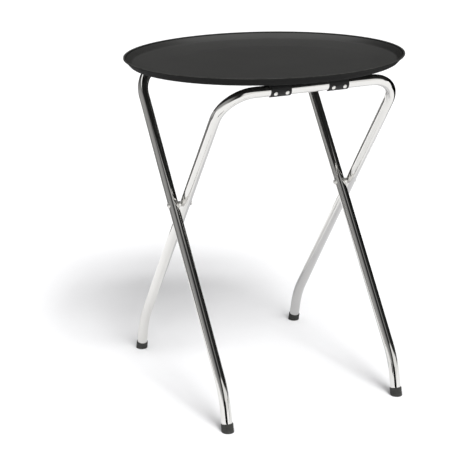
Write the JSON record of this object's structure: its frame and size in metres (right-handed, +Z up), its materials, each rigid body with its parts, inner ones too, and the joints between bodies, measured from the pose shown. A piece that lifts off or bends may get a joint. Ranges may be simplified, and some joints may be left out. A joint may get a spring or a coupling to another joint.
{
  "type": "folding tray stand",
  "caption": "Folding tray stand of two crossed, bent chrome tube frames on pivots, tied by black webbing straps, with rubber feet and a lift-off oval non-slip serving tray on top.",
  "frame": {"origin": "on the floor, under the middle of the stand and tray", "axes": "+X to the right along the two top bars, -Y to the front, +Z up"},
  "size_m": [0.668, 0.59, 0.7928],
  "materials": {
    "chrome_plate": "polished chrome plate on bent steel tube",
    "foot_rubber": "moulded black rubber",
    "nickel_plate": "bright plated steel fasteners",
    "black_webbing": "woven black polypropylene webbing",
    "tray_fibreglass": "moulded dark grey fibreglass, satin",
    "tray_grip": "fine non-slip rubberised layer, matte"
  },
  "bodies": {
    "rear_bar_leg_frame": {"rear_bar_frame": "chrome_plate", "foot_cap_front_left": "foot_rubber", "foot_cap_front_right": "foot_rubber", "pivot_bolt_left": "nickel_plate", "pivot_bolt_right": "nickel_plate", "pivot_spacer_left": "nickel_plate", "pivot_spacer_right": "nickel_plate", "saddle_washer_left": "nickel_plate", "saddle_washer_right": "nickel_plate", "flat_washer_left": "nickel_plate", "flat_washer_right": "nickel_plate", "domed_nut_left": "nickel_plate", "domed_nut_right": "nickel_plate", "strap_left": "black_webbing", "strap_right": "black_webbing", "strap_end_rear_left": "black_webbing", "strap_end_rear_right": "black_webbing", "rivets_rear_left": "nickel_plate", "rivets_rear_right": "nickel_plate"},
    "front_bar_leg_frame": {"front_bar_frame": "chrome_plate", "foot_cap_rear_left": "foot_rubber", "foot_cap_rear_right": "foot_rubber", "strap_end_front_left": "black_webbing", "strap_end_front_right": "black_webbing", "rivets_front_left": "nickel_plate", "rivets_front_right": "nickel_plate"},
    "serving_tray": {"tray_shell": "tray_fibreglass", "tray_grip_layer": "tray_grip"}
  },
  "joints": [
    {"name": "fold", "type": "hinge", "parent": "rear_bar_leg_frame", "child": "front_bar_leg_frame", "pos_m": [0, 0, 0.458], "axis": [-1, 0, 0], "range_deg": [0, 64], "deforming": ["strap_left", "strap_right"]},
    {"name": "tray_lift", "type": "slide", "parent": "rear_bar_leg_frame", "child": "serving_tray", "axis": [0, 0, 1], "range_m": [0, 0.3]}
  ],
  "couplings": [
    {"joint": "tray_lift", "follows": "fold", "m_per_rad": 0.26}
  ]
}
